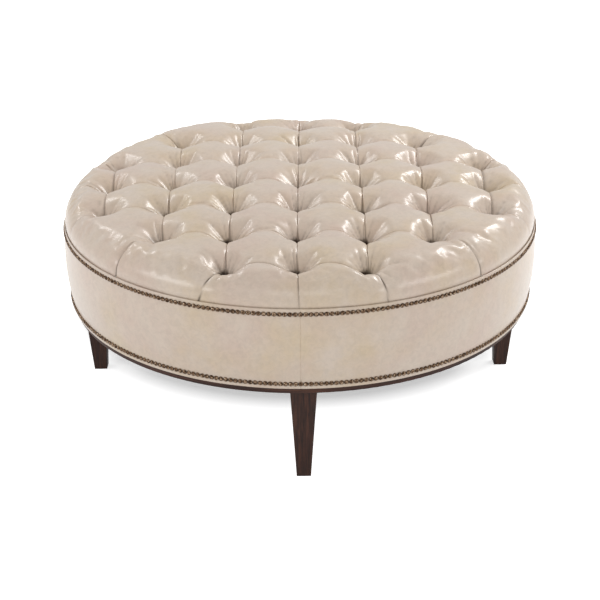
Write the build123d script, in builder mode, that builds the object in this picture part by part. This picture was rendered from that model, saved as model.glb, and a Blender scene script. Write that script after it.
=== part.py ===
from build123d import *
import math
import os

# Round tufted ottoman: a leather covered drum with a crowned, square-tufted top,
# two rows of domed nails, a stained plinth ring and four tapered wooden legs.
# Origin on the floor under the middle, +Z up, front towards -Y. Millimetres and degrees.

# Leather side band
band_radius = 533.4  # outside of the leather, so the ottoman is 42 inches across
band_foot_radius = 529.2  # the same at the bottom, where the side draws in a little
band_belly = 6.0  # how far the padded side swells between its folded edges
band_height = 177.4
hide = 2.0  # thickness of the leather
hem_height = 17.0  # folded edge at the top and at the bottom of the band
hem_swell = 0.8  # how far the folded edge stands proud
band_halves = 2
band_seam_turn = -90.0  # seams at the front and at the back

# Legs, glides and their bolts
leg_length = 211.5
leg_top_width = 54.9
leg_foot_width = 30.1
leg_outer_taper = 14.6  # how far the outer face leans in towards the foot
leg_inset = 21.4  # outer face at the top, inside the band
leg_edge_round = 1.5
leg_count = 4
leg_turn = 0.6  # the legs stand slightly clocked against the cover
leg_names = ("leg_right", "leg_back", "leg_left", "leg_front")
glide_radius = 10.0
glide_thickness = 3.0
glide_pin_radius = 1.0
glide_pin_length = 12.0
bolt_radius = 4.0
bolt_in_leg = 40.0
bolt_above_nut = 8.0
nut_barrel_radius = 5.0
nut_barrel_length = 10.0
nut_flange_radius = 9.5
nut_flange = 1.5

# Stained plinth ring
plinth_thickness = 13.5
plinth_inset = 5.0
plinth_width = 80.0
plinth_edge_round = 2.0
plinth_screw_count = 8
plinth_screw_turn = 22.5
plinth_bolt_clearance = 0.5

# Plywood bottom ring, posts, rails, deck and hoop
bottom_ring_thickness = 18.0
bottom_ring_width = 88.4
side_board = 3.0
side_padding_thickness = 6.0
post_radial = 45.0
post_across = 40.0
post_reach = 468.0  # middle of a rail post, along its rail
rail_spacing = 142.4  # middle to middle of a pair of rails
rail_width = 32.0
rail_height = 60.0
diagonal_post_radius = 478.0
diagonal_post_count = 4
deck_thickness = 18.0
deck_drop = 18.0  # deck surface below the hoop's top edge
deck_clearance = 0.3
hoop_thickness = 18.0
hoop_height = 54.0
hoop_screw_count = 12
hoop_screw_turn = 15.0

# Wood screws
screw_radius = 1.75
screw_head_radius = 4.0
screw_head_angle = 90.0
hoop_screw_sink = 0.2  # heads lie just under the hoop's round face
plinth_screw_length = 28.0
deck_screw_length = 45.0
hoop_screw_length = 40.0

# Crowned and tufted top
crown_rise = 80.0  # middle of the crown above the band's top edge
dome_radius = 6500.0
roll_radius = 52.0  # how far in the rounded edge of the cushion starts
roll_rise = 2.0  # where the rounding ends, above the band
skirt_drop = 20.0  # cover leather tucked down behind the band
quilt = 46.0  # depth of the pleats and pits under the crown
side_quilt = 20.0  # the same at the rim, measured inwards
tuft_pitch = 141.9
tuft_row_pitch = 145.8
tuft_shift = -2.8  # the tufts sit a little left of the middle
tuft_shift_back = -9.0
tuft_turn = -0.4  # and a little clocked
tuft_reaches = {-3: 1, -2: 2, -1: 3, 0: 3, 1: 3, 2: 2, 3: 1}  # row: last column each way
pleat_gap = 2.2
pit_radius = 9.0
puff_radius = 182.0  # each square puff is the cap of a ball
rim_puff_radius = 420.0
rim_pleat_turn = 3.0  # rim pleats swing out between the axes
overrun = 15.0  # extra length of every cut

# Tufting ties
tie_radius = 1.25
knot_radius = 3.0
tie_clearance = 1.75
toggle_radius = 11.0
toggle_thickness = 6.0

# Domed nail heads; their thin shanks, buried in the band and the hoop, are left out
nail_count = 328
nail_edge_gap = 11.0  # middle of a row from the band's edge
nail_head_radius = 5.0
nail_head_height = 3.4

# Dust cover
dust_cover_thickness = 0.8
dust_cover_clearance = 2.0

# Levels and radii that follow from the sizes above
leg_top = glide_thickness + leg_length
plinth_top = leg_top + plinth_thickness
band_top = plinth_top + band_height
bottom_ring_top = plinth_top + bottom_ring_thickness
deck_top = band_top - deck_drop
deck_bottom = deck_top - deck_thickness
rail_bottom = deck_bottom - rail_height
skirt_bottom = band_top - skirt_drop
plinth_radius = band_foot_radius - plinth_inset
skirt_radius = band_radius - hide
board_radius = skirt_radius - side_padding_thickness
frame_radius = board_radius - side_board
hoop_inner_radius = frame_radius - hoop_thickness
roll_start = skirt_radius - roll_radius
bottom_ring_inner_radius = frame_radius - bottom_ring_width
deck_radius = hoop_inner_radius - deck_clearance
crown_top = band_top + crown_rise
leg_outer_radius = band_radius - leg_inset
leg_top_radius = leg_outer_radius - leg_top_width / 2
leg_foot_radius = leg_outer_radius - leg_outer_taper - leg_foot_width / 2
bolt_top = bottom_ring_top + bolt_above_nut
lower_nail_height = plinth_top + nail_edge_gap
upper_nail_height = band_top - nail_edge_gap
rail_offset = rail_spacing / 2
rail_half_length = post_reach + post_radial / 2


def polar(radius, angle, height):
    """A point at a distance and a bearing from the middle."""
    turn = math.radians(angle)
    return (radius * math.cos(turn), radius * math.sin(turn), height)


def radial_plane(radius, angle, height):
    """A level plane whose x axis points away from the middle."""
    return Plane(origin=polar(radius, angle, height), x_dir=polar(1, angle, 0), z_dir=(0, 0, 1))


def inward_plane(radius, angle, height):
    """An upright plane, square to a bearing, that looks towards the middle."""
    return Plane(origin=polar(radius, angle, height), x_dir=(0, 0, 1), z_dir=polar(-1, angle, 0))


def upright_plane(angle):
    """An upright plane through the middle whose x axis points along a bearing."""
    return Plane(origin=(0, 0, 0), x_dir=polar(1, angle, 0), z_dir=polar(1, angle - 90, 0))


def around(count, start=0):
    """Evenly spaced bearings."""
    return [start + 360 / count * step for step in range(count)]


def dome_height(x, y):
    """Height of the crown's smooth dome over a point."""
    return crown_top - dome_radius + math.sqrt(dome_radius**2 - x**2 - y**2)


def ring(outer, inner, bottom, height):
    """A flat ring."""
    with BuildPart() as made:
        with BuildSketch(Plane.XY.offset(bottom)):
            Circle(outer)
            Circle(inner, mode=Mode.SUBTRACT)
        extrude(amount=height)
    return made.part


def disc(radius, bottom, height):
    """A flat disc."""
    with BuildPart() as made:
        with BuildSketch(Plane.XY.offset(bottom)):
            Circle(radius)
        extrude(amount=height)
    return made.part


def crowned(inset, side_inset, bottom):
    """The cushion's crowned outline, taken in on top and at the side, down to a level."""
    edge = skirt_radius - side_inset
    with BuildPart() as made:
        with BuildSketch(Plane.XZ):
            with BuildLine():
                top = (0, crown_top - inset)
                shoulder = (roll_start, dome_height(roll_start, 0) - inset)
                dome = RadiusArc(top, shoulder, dome_radius)
                roll = TangentArc(shoulder, (edge, band_top + roll_rise), tangent=dome % 1)
                Polyline(roll @ 1, (edge, bottom), (0, bottom), top)
            make_face()
        revolve(axis=Axis.Z)
    return made.part


def belly(inset, bottom, top):
    """Three points of the side's swelling outline, taken in from the outside of the leather."""
    middle = (band_foot_radius + band_radius) / 2 + band_belly - inset
    return (band_foot_radius - inset, bottom), (middle, (bottom + top) / 2), (band_radius - inset, top)


def screw_profile(length):
    """Half outline of a countersunk wood screw, its head at the origin, pointing down."""
    head_depth = screw_head_radius - screw_radius
    with BuildSketch(Plane.XZ) as made:
        with BuildLine():
            Polyline(
                (0, 0),
                (screw_head_radius, 0),
                (screw_radius, -head_depth),
                (screw_radius, screw_radius - length),
                (0, -length),
                (0, 0),
            )
        make_face()
    return made.sketch


def screws(planes, length):
    """Countersunk screws driven along each plane's normal."""
    with BuildPart() as one:
        revolve(screw_profile(length), axis=Axis.Z)
    with BuildPart() as made:
        with Locations(*[Location(plane * Rotation(180, 0, 0)) for plane in planes]):
            add(one.part)
    return made.part


def tuft_place(column, row):
    """A tuft's place on the square grid, seen from above."""
    turn = math.radians(tuft_turn)
    along, across = column * tuft_pitch, row * tuft_row_pitch
    return (
        tuft_shift + along * math.cos(turn) - across * math.sin(turn),
        tuft_shift_back + along * math.sin(turn) + across * math.cos(turn),
    )


# Places of the tufts, and the outermost ones in order round the rim
tufts = {
    (column, row): tuft_place(column, row)
    for row, reach in tuft_reaches.items()
    for column in range(-reach, reach + 1)
}
outer_tufts = sorted(
    [
        (column, row)
        for column, row in tufts
        if max(abs(column), abs(row)) == max(tuft_reaches) or abs(column) == abs(row) == tuft_reaches[2]
    ],
    key=lambda at: math.atan2(at[1], at[0]),
)


def rim_point(column, row):
    """Where the pleat from an outer tuft leaves the cushion."""
    bearing = math.degrees(math.atan2(row, column))
    swing = rim_pleat_turn * math.sin(math.radians(2 * bearing))
    return polar(band_radius + overrun, bearing - swing, 0)[:2]


def puff(corners, pits, ball_radius, outline=None):
    """A pillow between pleats: the cap of a ball that touches the dome from below."""
    x = sum(corner[0] for corner in corners) / len(corners)
    y = sum(corner[1] for corner in corners) / len(corners)
    depth_share = 1 - ball_radius / dome_radius
    dome_middle = crown_top - dome_radius
    height = dome_middle + (dome_height(x, y) - dome_middle) * depth_share
    with BuildPart() as made:
        with BuildSketch(Plane.XY.offset(band_top + hide / 2)):
            with BuildLine():
                Polyline(*corners, close=True)
            make_face()
            offset(amount=-pleat_gap / 2, kind=Kind.INTERSECTION)
            with Locations(*pits):
                Circle(pit_radius, mode=Mode.SUBTRACT)
        extrude(amount=crown_rise + overrun)
        with Locations((x * depth_share, y * depth_share, height)):
            Sphere(ball_radius, mode=Mode.INTERSECT)
        if outline:
            add(outline, mode=Mode.INTERSECT)
    return made.part


def square_puffs():
    """The pillows that stand between four tufts."""
    made = []
    for column, row in tufts:
        cell = [(column, row), (column + 1, row), (column + 1, row + 1), (column, row + 1)]
        if all(at in tufts for at in cell):
            corners = [tufts[at] for at in cell]
            made.append(puff(corners, corners, puff_radius))
    return made


def rim_puffs():
    """The pillows between the outer tufts and the rim, rounded over the edge."""
    outline = crowned(0, 0, band_top)
    made = []
    for first, second in zip(outer_tufts, outer_tufts[1:] + outer_tufts[:1]):
        inner = []
        if first[0] != second[0] and first[1] != second[1]:
            inner = sorted([(first[0], second[1]), (second[0], first[1])], key=lambda at: math.hypot(*at))[:1]
        pits = [tufts[at] for at in [first, second] + inner]
        corners = [tufts[first], rim_point(*first), rim_point(*second), tufts[second]]
        made.append(puff(corners + pits[2:], pits, rim_puff_radius, outline))
    return made


def leg(angle):
    """Tapered square leg whose outer face leans in the most."""
    top = radial_plane(leg_top_radius, angle, leg_top)
    foot = radial_plane(leg_foot_radius, angle, glide_thickness)
    with BuildPart() as made:
        with BuildSketch(foot):
            RectangleRounded(leg_foot_width, leg_foot_width, leg_edge_round)
        with BuildSketch(top):
            RectangleRounded(leg_top_width, leg_top_width, leg_edge_round)
        loft(ruled=True)
        with Locations(top):
            Hole(bolt_radius, depth=bolt_in_leg)
        with Locations(foot * Rotation(180, 0, 0)):
            Hole(glide_pin_radius, depth=glide_pin_length)
    return made.part


def glide(angle):
    """Nylon disc under a foot, with the pin that holds it."""
    with BuildPart() as made:
        with BuildSketch(radial_plane(leg_foot_radius, angle, 0)):
            Circle(glide_radius)
        extrude(amount=glide_thickness)
        with BuildSketch(radial_plane(leg_foot_radius, angle, glide_thickness)):
            Circle(glide_pin_radius)
        extrude(amount=glide_pin_length)
    return made.part


def tee_nut(angle):
    """Threaded insert pressed into the bottom ring from above."""
    with BuildPart() as made:
        with BuildSketch(radial_plane(leg_top_radius, angle, bottom_ring_top)):
            Circle(nut_flange_radius)
        extrude(amount=nut_flange)
        with BuildSketch(radial_plane(leg_top_radius, angle, bottom_ring_top - nut_barrel_length)):
            Circle(nut_barrel_radius)
        extrude(amount=nut_barrel_length)
        with Locations(radial_plane(leg_top_radius, angle, bottom_ring_top + nut_flange)):
            Hole(bolt_radius)
    return made.part


def post(plane, height, screw_depth):
    """Upright timber between the bottom ring and what it carries."""
    with BuildPart() as made:
        with BuildSketch(plane):
            Rectangle(post_radial, post_across)
        extrude(amount=height)
        if screw_depth:
            with Locations(plane.offset(height)):
                Hole(screw_radius, depth=screw_depth)
    return made.part


def rail(angle, side, notch_bottom):
    """Deck rail across the drum, notched half through where the other pair crosses."""
    middle = polar(side * rail_offset, angle + 90, 0)
    plane = Plane(origin=(middle[0], middle[1], rail_bottom), x_dir=polar(1, angle, 0), z_dir=(0, 0, 1))
    with BuildPart() as made:
        with BuildSketch(plane):
            Rectangle(2 * rail_half_length, rail_width)
        extrude(amount=rail_height)
        with BuildSketch(plane.offset(notch_bottom)):
            with Locations((-rail_offset, 0), (rail_offset, 0)):
                Rectangle(rail_width, rail_width)
        extrude(amount=rail_height / 2, mode=Mode.SUBTRACT)
        with Locations(*[plane.offset(rail_height) * Pos(end, 0) for end in (-post_reach, post_reach)]):
            Hole(screw_radius, depth=deck_screw_length - deck_thickness)
    return made.part


def tie(x, y):
    """Tufting twine from the pit to its toggle, knotted at both ends."""
    floor = dome_height(x, y) - quilt
    knot = deck_bottom - toggle_thickness - knot_radius
    with BuildPart() as made:
        with BuildSketch(Plane.XY.offset(knot)):
            with Locations((x, y)):
                Circle(tie_radius)
        extrude(amount=floor + knot_radius - knot)
        with Locations((x, y, knot), (x, y, floor + knot_radius)):
            Sphere(knot_radius)
    return made.part


def nails(seat, height):
    """A row of domed nail heads, flat on the band's folded edge."""
    cap_radius = (nail_head_radius**2 + nail_head_height**2) / (2 * nail_head_height)
    with BuildPart() as one:
        with BuildSketch(Plane.XZ):
            with BuildLine():
                dome = RadiusArc((0, nail_head_height), (nail_head_radius, 0), cap_radius)
                Polyline(dome @ 1, (0, 0), dome @ 0)
            make_face()
        revolve(axis=Axis.Z)
    with BuildPart() as made:
        places = [inward_plane(seat, angle, height) * Rotation(180, 0, 0) for angle in around(nail_count)]
        with Locations(*[Location(place) for place in places]):
            add(one.part, clean=False)
    return made.part


os.makedirs("parts", exist_ok=True)
leg_angles = around(leg_count, leg_turn)

# Legs
for name, angle in zip(leg_names, leg_angles):
    with BuildPart() as tapered_leg:
        add(leg(angle))
    tapered_leg.part.label = name
    export_step(tapered_leg.part, f"parts/{name}.step")

# Glides
with BuildPart() as leg_glides:
    for angle in leg_angles:
        add(glide(angle))
leg_glides.part.label = "leg_glides"
export_step(leg_glides.part, "parts/leg_glides.step")

# Hanger bolts, half in the leg and half up through plinth, bottom ring and nut
with BuildPart() as hanger_bolts:
    for angle in leg_angles:
        with BuildSketch(radial_plane(leg_top_radius, angle, leg_top - bolt_in_leg)):
            Circle(bolt_radius)
    extrude(amount=bolt_top - leg_top + bolt_in_leg)
hanger_bolts.part.label = "hanger_bolts"
export_step(hanger_bolts.part, "parts/hanger_bolts.step")

# Tee nuts
with BuildPart() as tee_nuts:
    for angle in leg_angles:
        add(tee_nut(angle))
tee_nuts.part.label = "tee_nuts"
export_step(tee_nuts.part, "parts/tee_nuts.step")

# Plinth ring, with clearance for the bolts and countersunk screw holes from below
plinth_screw_radius = plinth_radius - plinth_width / 2
plinth_screw_angles = around(plinth_screw_count, plinth_screw_turn)
with BuildPart() as plinth_ring:
    add(ring(plinth_radius, plinth_radius - plinth_width, leg_top, plinth_thickness))
    fillet(plinth_ring.edges().group_by(Axis.Z)[0].sort_by(SortBy.LENGTH)[-1], plinth_edge_round)
    with Locations(*[radial_plane(leg_top_radius, angle, plinth_top) for angle in leg_angles]):
        Hole(bolt_radius + plinth_bolt_clearance)
    with Locations(*[
        radial_plane(plinth_screw_radius, angle, leg_top) * Rotation(180, 0, 0)
        for angle in plinth_screw_angles
    ]):
        CounterSinkHole(screw_radius, screw_head_radius, counter_sink_angle=screw_head_angle)
plinth_ring.part.label = "plinth_ring"
export_step(plinth_ring.part, "parts/plinth_ring.step")

# Screws that hold the plinth to the bottom ring
with BuildPart() as plinth_screws:
    add(screws(
        [radial_plane(plinth_screw_radius, angle, leg_top) for angle in plinth_screw_angles],
        plinth_screw_length,
    ))
plinth_screws.part.label = "plinth_screws"
export_step(plinth_screws.part, "parts/plinth_screws.step")

# Plywood bottom ring
with BuildPart() as bottom_ring:
    add(ring(frame_radius, bottom_ring_inner_radius, plinth_top, bottom_ring_thickness))
    with Locations(*[radial_plane(leg_top_radius, angle, bottom_ring_top) for angle in leg_angles]):
        Hole(nut_barrel_radius)
    with Locations(*[
        radial_plane(plinth_screw_radius, angle, plinth_top) * Rotation(180, 0, 0)
        for angle in plinth_screw_angles
    ]):
        Hole(screw_radius, depth=plinth_screw_length - plinth_thickness)
bottom_ring.part.label = "bottom_ring"
export_step(bottom_ring.part, "parts/bottom_ring.step")

# Rail posts, two at each end of each pair of rails
for angle in around(4):
    for side, hand in ((-1, "a"), (1, "b")):
        across = polar(side * rail_offset, angle + 90, 0)
        along = polar(post_reach, angle, bottom_ring_top)
        place = Plane(
            origin=(across[0] + along[0], across[1] + along[1], bottom_ring_top),
            x_dir=polar(1, angle, 0),
            z_dir=(0, 0, 1),
        )
        name = f"rail_post_{round(angle):03d}{hand}"
        with BuildPart() as rail_post:
            add(post(place, rail_bottom - bottom_ring_top, 0))
        rail_post.part.label = name
        export_step(rail_post.part, f"parts/{name}.step")

# Full height posts on the diagonals
for angle in around(diagonal_post_count, 180 / diagonal_post_count):
    name = f"deck_post_{round(angle):03d}"
    with BuildPart() as deck_post:
        add(post(
            radial_plane(diagonal_post_radius, angle, bottom_ring_top),
            deck_bottom - bottom_ring_top,
            deck_screw_length - deck_thickness,
        ))
    deck_post.part.label = name
    export_step(deck_post.part, f"parts/{name}.step")

# Halved deck rails: one pair notched from below, the other from above
for angle, notch_bottom, names in (
    (0, 0, ("deck_rail_front", "deck_rail_back")),
    (90, rail_height / 2, ("deck_rail_right", "deck_rail_left")),
):
    for side, name in zip((-1, 1), names):
        with BuildPart() as deck_rail:
            add(rail(angle, side, notch_bottom))
        deck_rail.part.label = name
        export_step(deck_rail.part, f"parts/{name}.step")

# Deck, bored for every tie and for its screws
deck_screw_planes = [
    Plane(origin=(along, across, deck_top) if angle == 0 else (across, along, deck_top))
    for angle in (0, 90)
    for along in (-post_reach, post_reach)
    for across in (-rail_offset, rail_offset)
] + [
    radial_plane(diagonal_post_radius, angle, deck_top)
    for angle in around(diagonal_post_count, 180 / diagonal_post_count)
]
hoop_screw_angles = around(hoop_screw_count, hoop_screw_turn)
hoop_screw_height = deck_top - deck_thickness / 2
with BuildPart() as deck:
    add(disc(deck_radius, deck_bottom, deck_thickness))
    with Locations(*[(x, y, deck_top) for x, y in tufts.values()]):
        Hole(tie_radius + tie_clearance)
    with Locations(*deck_screw_planes):
        CounterSinkHole(screw_radius, screw_head_radius, counter_sink_angle=screw_head_angle)
    with Locations(*[
        inward_plane(deck_radius, angle, hoop_screw_height) * Rotation(180, 0, 0)
        for angle in hoop_screw_angles
    ]):
        Hole(screw_radius, depth=hoop_screw_sink + hoop_screw_length - hoop_thickness)
deck.part.label = "deck"
export_step(deck.part, "parts/deck.step")

# Deck screws
with BuildPart() as deck_screws:
    add(screws([plane * Rotation(180, 0, 0) for plane in deck_screw_planes], deck_screw_length))
deck_screws.part.label = "deck_screws"
export_step(deck_screws.part, "parts/deck_screws.step")

# Hoop round the deck, which takes the upper nails
with BuildPart() as top_hoop:
    add(ring(frame_radius, hoop_inner_radius, band_top - hoop_height, hoop_height))
    with Locations(*[
        inward_plane(frame_radius - hoop_screw_sink, angle, hoop_screw_height) * Rotation(180, 0, 0)
        for angle in hoop_screw_angles
    ]):
        CounterSinkHole(
            screw_radius,
            screw_head_radius,
            counter_sink_angle=screw_head_angle,
            depth=hoop_thickness + overrun,
        )
top_hoop.part.label = "top_hoop"
export_step(top_hoop.part, "parts/top_hoop.step")

# Screws through the hoop into the deck's edge
with BuildPart() as hoop_screws:
    add(screws(
        [
            inward_plane(frame_radius - hoop_screw_sink, angle, hoop_screw_height)
            for angle in hoop_screw_angles
        ],
        hoop_screw_length,
    ))
hoop_screws.part.label = "hoop_screws"
export_step(hoop_screws.part, "parts/hoop_screws.step")

# Bent side board between the bottom ring and the hoop
with BuildPart() as side_board_hoop:
    add(ring(board_radius, frame_radius, plinth_top, band_height))
side_board_hoop.part.label = "side_board"
export_step(side_board_hoop.part, "parts/side_board.step")

# Batting behind the band, thickest half way up and thinner where the cover's skirt lies over it
lower_hem_top = plinth_top + hem_height + hem_swell
upper_hem_bottom = band_top - hem_height - hem_swell
with BuildPart() as side_padding:
    with BuildSketch(Plane.XZ):
        with BuildLine():
            swelling = ThreePointArc(*belly(hide, lower_hem_top, skirt_bottom))
            Polyline(
                swelling @ 1,
                (skirt_radius - hide, skirt_bottom),
                (skirt_radius - hide, band_top),
                (board_radius, band_top),
                (board_radius, plinth_top),
                (band_foot_radius - hide, plinth_top),
                swelling @ 0,
            )
        make_face()
    revolve(axis=Axis.Z)
side_padding.part.label = "side_padding"
export_step(side_padding.part, "parts/side_padding.step")

# Leather band in two halves, with folded edges and seams at the front and the back
for half, name in enumerate(("side_band_right", "side_band_left")):
    with BuildPart() as side_band:
        with BuildSketch(upright_plane(band_seam_turn + half * 360 / band_halves)):
            with BuildLine():
                outside = ThreePointArc(*belly(0, lower_hem_top, upper_hem_bottom))
                inside = ThreePointArc(*belly(hide, lower_hem_top, skirt_bottom))
                Polyline(
                    outside @ 1,
                    (band_radius + hem_swell, band_top - hem_height),
                    (band_radius + hem_swell, band_top),
                    (skirt_radius, band_top),
                    inside @ 1,
                )
                Polyline(
                    inside @ 0,
                    (band_foot_radius - hide, plinth_top),
                    (band_foot_radius + hem_swell, plinth_top),
                    (band_foot_radius + hem_swell, plinth_top + hem_height),
                    outside @ 0,
                )
            make_face()
        revolve(axis=Axis.Z, revolution_arc=360 / band_halves)
    side_band.part.label = name
    export_step(side_band.part, f"parts/{name}.step")

# Tufted cover: leather with its batting, drawn down to the foam along the pleats and at each tuft
cushion_shell = crowned(quilt, side_quilt, band_top)
cushion_core = crowned(quilt + hide, side_quilt + hide, band_top)
pillows = square_puffs() + rim_puffs()
with BuildPart() as tufted_cover:
    add(cushion_shell)
    add(ring(skirt_radius, skirt_radius - side_quilt - hide, band_top, hide))
    add(pillows, clean=False)
    add(cushion_core, mode=Mode.SUBTRACT, clean=False)
    add(ring(skirt_radius, skirt_radius - hide, skirt_bottom, skirt_drop), clean=False)
    with Locations(*[(x, y, crown_top) for x, y in tufts.values()]):
        Hole(tie_radius)
tufted_cover.part.label = "tufted_cover"
export_step(tufted_cover.part, "parts/tufted_cover.step")

# Foam, bored for the ties
with BuildPart() as foam_core:
    add(cushion_core)
    add(disc(hoop_inner_radius, deck_top, deck_drop))
    with Locations(*[(x, y, crown_top) for x, y in tufts.values()]):
        Hole(tie_radius + tie_clearance)
foam_core.part.label = "foam_core"
export_step(foam_core.part, "parts/foam_core.step")

# Ties and their toggles
with BuildPart() as tuft_ties:
    add([tie(x, y) for x, y in tufts.values()])
tuft_ties.part.label = "tuft_ties"
export_step(tuft_ties.part, "parts/tuft_ties.step")

with BuildPart() as tie_toggles:
    with BuildSketch(Plane.XY.offset(deck_bottom - toggle_thickness)):
        with Locations(*tufts.values()):
            Circle(toggle_radius)
            Circle(tie_radius, mode=Mode.SUBTRACT)
    extrude(amount=toggle_thickness)
tie_toggles.part.label = "tie_toggles"
export_step(tie_toggles.part, "parts/tie_toggles.step")

# Nail rows
for name, edge_radius, height in (
    ("upper_nails", band_radius, upper_nail_height),
    ("lower_nails", band_foot_radius, lower_nail_height),
):
    with BuildPart() as nail_row:
        add(nails(edge_radius + hem_swell, height))
    nail_row.part.label = name
    export_step(nail_row.part, f"parts/{name}.step")

# Dust cover, stapled inside the plinth
with BuildPart() as dust_cover:
    add(disc(
        plinth_radius - plinth_width - dust_cover_clearance,
        plinth_top - dust_cover_thickness,
        dust_cover_thickness,
    ))
dust_cover.part.label = "dust_cover"
export_step(dust_cover.part, "parts/dust_cover.step")
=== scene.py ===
import math
import random
import bpy
import numpy as np
from mathutils import Matrix, Vector


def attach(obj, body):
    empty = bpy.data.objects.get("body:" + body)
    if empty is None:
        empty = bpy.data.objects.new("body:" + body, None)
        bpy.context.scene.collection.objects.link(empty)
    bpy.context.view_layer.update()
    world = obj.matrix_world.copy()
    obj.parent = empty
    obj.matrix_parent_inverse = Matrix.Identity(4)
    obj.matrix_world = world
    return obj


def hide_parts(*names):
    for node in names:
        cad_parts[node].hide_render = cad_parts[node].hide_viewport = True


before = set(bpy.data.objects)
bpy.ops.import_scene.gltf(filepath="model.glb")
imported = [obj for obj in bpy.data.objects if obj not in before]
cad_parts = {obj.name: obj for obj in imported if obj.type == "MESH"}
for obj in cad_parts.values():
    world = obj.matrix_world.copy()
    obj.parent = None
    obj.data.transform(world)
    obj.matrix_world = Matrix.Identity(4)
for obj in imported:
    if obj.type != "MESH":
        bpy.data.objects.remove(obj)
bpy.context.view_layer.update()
mm = 0.001


def report(words):
    print("ottoman:", words, flush=True)


def toLinear(hexColour):
    # the sRGB curve
    parts = [int(hexColour[i:i + 2], 16) / 255 for i in (1, 3, 5)]
    return [p / 12.92 if p <= 0.04045 else ((p + 0.055) / 1.055) ** 2.4 for p in parts] + [1]


def addNode(tree, kind, links=None, stops=None, **settings):
    # links are input name or number -> socket or plain value, stops are the places and the colours or
    # greys of a colour ramp, and settings are node properties
    node = tree.nodes.new(kind)
    for name, value in settings.items():
        setattr(node, name, value)
    for name, value in (links or {}).items():
        if isinstance(value, bpy.types.NodeSocket):
            tree.links.new(value, node.inputs[name])
        else:
            node.inputs[name].default_value = value
    if stops:
        elements = node.color_ramp.elements
        while len(elements) < len(stops):
            elements.new(0.5)
        for element, (place, value) in zip(elements, stops):
            element.position = place
            element.color = toLinear(value) if isinstance(value, str) else (value, value, value, 1)
    return node


def newMaterial(name, **sockets):
    material = bpy.data.materials.new(name)
    material.use_nodes = True
    tree = material.node_tree
    shader = tree.nodes["Principled BSDF"]
    for socket, value in sockets.items():
        shader.inputs[socket.replace("_", " ")].default_value = value
    place = addNode(tree, "ShaderNodeTexCoord").outputs["Object"]
    return material, tree, shader, place


def plug(tree, shader, sockets):
    for name, socket in sockets.items():
        tree.links.new(socket, shader.inputs[name])


def meshObject(name, points, faces, material):
    mesh = bpy.data.meshes.new(name)
    mesh.from_pydata([tuple(p) for p in points], [], [tuple(f) for f in faces])
    mesh.update()
    made = bpy.data.objects.new(name, mesh)
    bpy.context.scene.collection.objects.link(made)
    mesh.materials.append(material)
    mesh.polygons.foreach_set("use_smooth", [True] * len(mesh.polygons))
    return made


def around(items):
    # each item of a closed loop with the one after it
    return zip(items, items[1:] + items[:1])


def dress(names, material):
    for name in names:
        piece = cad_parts[name]
        piece.data.materials.clear()
        piece.data.materials.append(material)


# Leather: pigmented and plated hide with a clear glossy finish, so it has broad soft highlights
leather = {
    # the last colour here is painted shade for creases, pits, the seam and the leather under the nails
    "pale": "#D2C2B2", "warm": "#CFBB9F", "rosy": "#CFBAAA", "paintedShade": "#2F2118",
    # size in mm and make-up of the wide patches, the small patches, the flecks and the pores
    "patterns": {
        "cloud": (170, {"Detail": 3}),
        "mottle": (70, {"Detail": 5, "Roughness": 0.6}),
        "fleck": (11, {"Detail": 6, "Roughness": 0.65, "Distortion": 0.8}),
        "pore": (0.6, {"Detail": 2}),
    },
    "stops": {
        "cloud": [(0.4, 0.0), (0.62, 1.0)],
        "mottle": [(0.36, 0.0), (0.66, 1.0)],
        "fleck": [(0.36, 0.91), (0.6, 1.0)],
    },
    "grain": 1.4,  # drawn coarser than the real 0.5 mm so that it shows
    "waveHeight": 2.0, "waveStrength": 0.12, "grainHeight": 0.25, "grainStrength": 0.16,
    "roughness": (0.29, 0.41), "specular": 0.5, "coat": 0.4, "coatRoughness": 0.18,
}


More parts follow.
